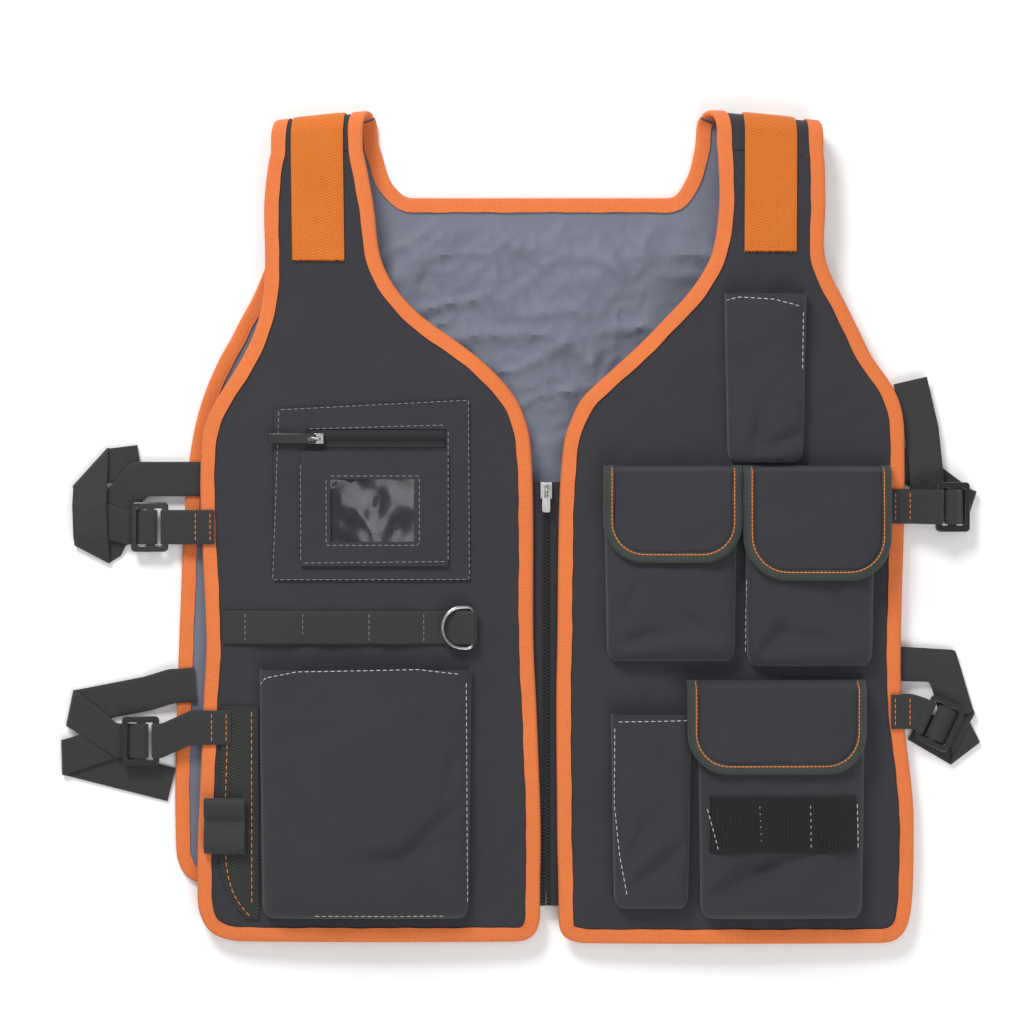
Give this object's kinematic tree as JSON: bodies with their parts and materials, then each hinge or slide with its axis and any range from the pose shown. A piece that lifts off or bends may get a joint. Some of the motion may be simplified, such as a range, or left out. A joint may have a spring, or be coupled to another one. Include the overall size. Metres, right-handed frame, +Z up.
{
  "type": "utility work vest",
  "caption": "Open-front work vest laid flat on its back, with bound edges, pouch and flap pockets, a card window, webbing loops, a ring and adjustable side straps.",
  "frame": {"origin": "on the surface the vest lies on, under the middle of its outline", "axes": "+X to the right as seen from above, +Y from hem to shoulders, +Z up, out of the fronts"},
  "size_m": [0.6714, 0.6048, 0.0433],
  "materials": {
    "lining": "soft creased lining",
    "orange_binding": "ribbed folded tape",
    "charcoal_cloth": "matt plain weave",
    "orange_webbing": "twill webbing",
    "flap_trim": "ribbed folded tape",
    "black_webbing": "ribbed webbing",
    "clear_vinyl": "clear soft sheet",
    "herringbone": "coarse herringbone webbing",
    "nickel": "plated",
    "zip_tape": "woven tape",
    "zip_teeth": "moulded teeth",
    "black_plastic": "moulded"
  },
  "bodies": {
    "vest": {"back_panel": "lining", "back_binding_hem": "orange_binding", "back_binding_left": "orange_binding", "back_binding_right": "orange_binding", "neck_binding": "orange_binding", "front_panel_left": "charcoal_cloth", "front_binding_left": "orange_binding", "front_panel_right": "charcoal_cloth", "front_binding_right": "orange_binding", "shoulder_band_left": "orange_webbing", "shoulder_band_right": "orange_webbing", "cargo_pouch": "charcoal_cloth", "pen_pouch": "charcoal_cloth", "flap_pouch_left": "charcoal_cloth", "flap_pouch_right": "charcoal_cloth", "slim_pouch": "charcoal_cloth", "tool_pouch": "charcoal_cloth", "flap_left": "charcoal_cloth", "flap_binding_left": "flap_trim", "flap_right": "charcoal_cloth", "flap_binding_right": "flap_trim", "flap_tool": "charcoal_cloth", "flap_binding_tool": "flap_trim", "elastic_band": "black_webbing", "chest_patch": "charcoal_cloth", "id_patch": "charcoal_cloth", "id_window": "clear_vinyl", "side_patch": "herringbone", "loop_webbing": "black_webbing", "side_loop": "black_webbing", "zip_tape_left": "zip_tape", "zip_tape_right": "zip_tape", "zip_chain": "zip_teeth", "chest_zip_tape": "zip_tape", "chest_zip_chain": "zip_teeth", "zip_slider": "nickel", "chest_zip_slider": "nickel", "buckle_upper_left": "black_plastic", "tab_upper_left": "black_webbing", "strap_upper_left": "black_webbing", "buckle_lower_left": "black_plastic", "tab_lower_left": "black_webbing", "strap_lower_left": "black_webbing", "buckle_upper_right": "black_plastic", "tab_upper_right": "black_webbing", "strap_upper_right": "black_webbing", "buckle_lower_right": "black_plastic", "tab_lower_right": "black_webbing", "strap_lower_right": "black_webbing"},
    "main_zip_pull": {"zip_pull": "nickel"},
    "chest_zip_pull": {"chest_zip_pull": "black_plastic"},
    "d_ring": {"d_ring": "nickel"}
  },
  "joints": [
    {"name": "main_zip_pull_hinge", "type": "hinge", "parent": "vest", "child": "main_zip_pull", "pos_m": [0.01849, 0.02636, 0.0176], "axis": [-1, 0, 0], "range_deg": [0, 165]},
    {"name": "chest_zip_pull_hinge", "type": "hinge", "parent": "vest", "child": "chest_zip_pull", "pos_m": [-0.14815, 0.06358, 0.02802], "axis": [0, 1, 0], "range_deg": [0, 165]},
    {"name": "d_ring_hinge", "type": "hinge", "parent": "vest", "child": "d_ring", "pos_m": [-0.0349, -0.0728, 0.02467], "axis": [0, 1, 0], "range_deg": [0, 150]}
  ]
}
